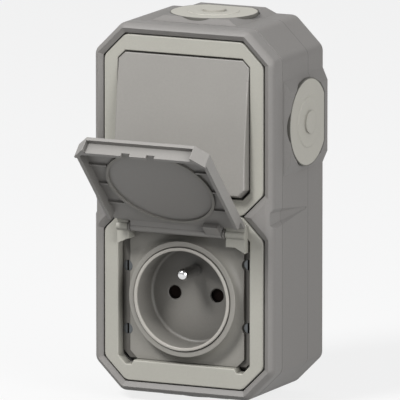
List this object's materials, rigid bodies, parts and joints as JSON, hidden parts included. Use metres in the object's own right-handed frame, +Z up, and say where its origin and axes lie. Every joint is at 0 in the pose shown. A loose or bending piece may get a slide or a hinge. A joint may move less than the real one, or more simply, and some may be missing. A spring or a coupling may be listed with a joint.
{
  "type": "outdoor weatherproof socket",
  "caption": "Surface-mounted weatherproof box with a large rocker switch above and an earthed plug socket under a hinged lid below.",
  "frame": {"origin": "centre of the flat back face that lies on the wall", "axes": "+Z up, +X to the right seen from the front, the front faces -Y and +Y points into the wall"},
  "size_m": [0.0864, 0.0914, 0.1574],
  "materials": {
    "housing_grey": "fine textured moulded grey",
    "surround_pale": "satin pale grey",
    "entry_pale": "soft pale grey",
    "rocker_grey": "satin grey",
    "lid_grey": "satin grey",
    "seal_grey": "soft grey",
    "socket_grey": "satin grey",
    "hinge_grey": "satin grey",
    "frame_dark": "dark grey",
    "shutter_dark": "dark brown",
    "insulator": "off-white",
    "gasket_black": "black",
    "brass": "plain",
    "steel": "zinc plated",
    "screw_dark": "darkened steel",
    "chrome": "polished nickel"
  },
  "bodies": {
    "base": {"back_box": "housing_grey", "front_cover": "housing_grey", "cover_gasket": "gasket_black", "cover_screws": "steel", "top_entry_seal": "entry_pale", "bottom_entry_seal": "entry_pale", "right_entry_seal": "entry_pale", "left_entry_seal": "entry_pale", "switch_surround": "surround_pale", "switch_surround_seal": "gasket_black", "switch_housing": "insulator", "switch_back_plate": "insulator", "switch_support": "insulator", "switch_support_screws": "steel", "common_contact": "brass", "upper_contact": "brass", "lower_contact": "brass", "switch_terminal_screws": "steel", "socket_surround": "surround_pale", "socket_surround_seal": "gasket_black", "socket_cover": "socket_grey", "socket_well": "socket_grey", "socket_frame": "frame_dark", "socket_frame_screws": "screw_dark", "socket_base": "insulator", "socket_back_plate": "insulator", "socket_support": "insulator", "socket_support_screws": "steel", "live_contact": "brass", "neutral_contact": "brass", "earth_pin": "chrome", "earth_strap": "brass", "socket_terminal_screws": "steel", "shutter_springs": "steel", "hinge_pin": "steel", "hinge_washers": "hinge_grey"},
    "lid": {"lid": "lid_grey", "lid_seal": "seal_grey"},
    "rocker": {"rocker": "rocker_grey", "rocker_cradle": "insulator"},
    "contact_lever": {"contact_lever": "brass"},
    "shutter": {"shutter": "shutter_dark"}
  },
  "joints": [
    {"name": "lid_hinge", "type": "hinge", "parent": "base", "child": "lid", "pos_m": [0, -0.0489, -0.0072], "axis": [1, 0, 0], "range_deg": [0, 136]},
    {"name": "rocker_tilt", "type": "hinge", "parent": "base", "child": "rocker", "pos_m": [0, -0.041, 0.0355], "axis": [1, 0, 0], "range_deg": [0, 10.6]},
    {"name": "contact_tilt", "type": "hinge", "parent": "base", "child": "contact_lever", "pos_m": [0, -0.024, 0.0355], "axis": [1, 0, 0], "range_deg": [-12.05, 0]},
    {"name": "shutter_slide", "type": "slide", "parent": "base", "child": "shutter", "axis": [0, 0, -1], "range_m": [0, 0.0067], "stiffness_N_per_m": 100, "springref_m": -0.003, "deforming": ["shutter_springs"]}
  ],
  "couplings": [
    {"joint": "contact_tilt", "follows": "rocker_tilt", "ratio": -1.132}
  ]
}
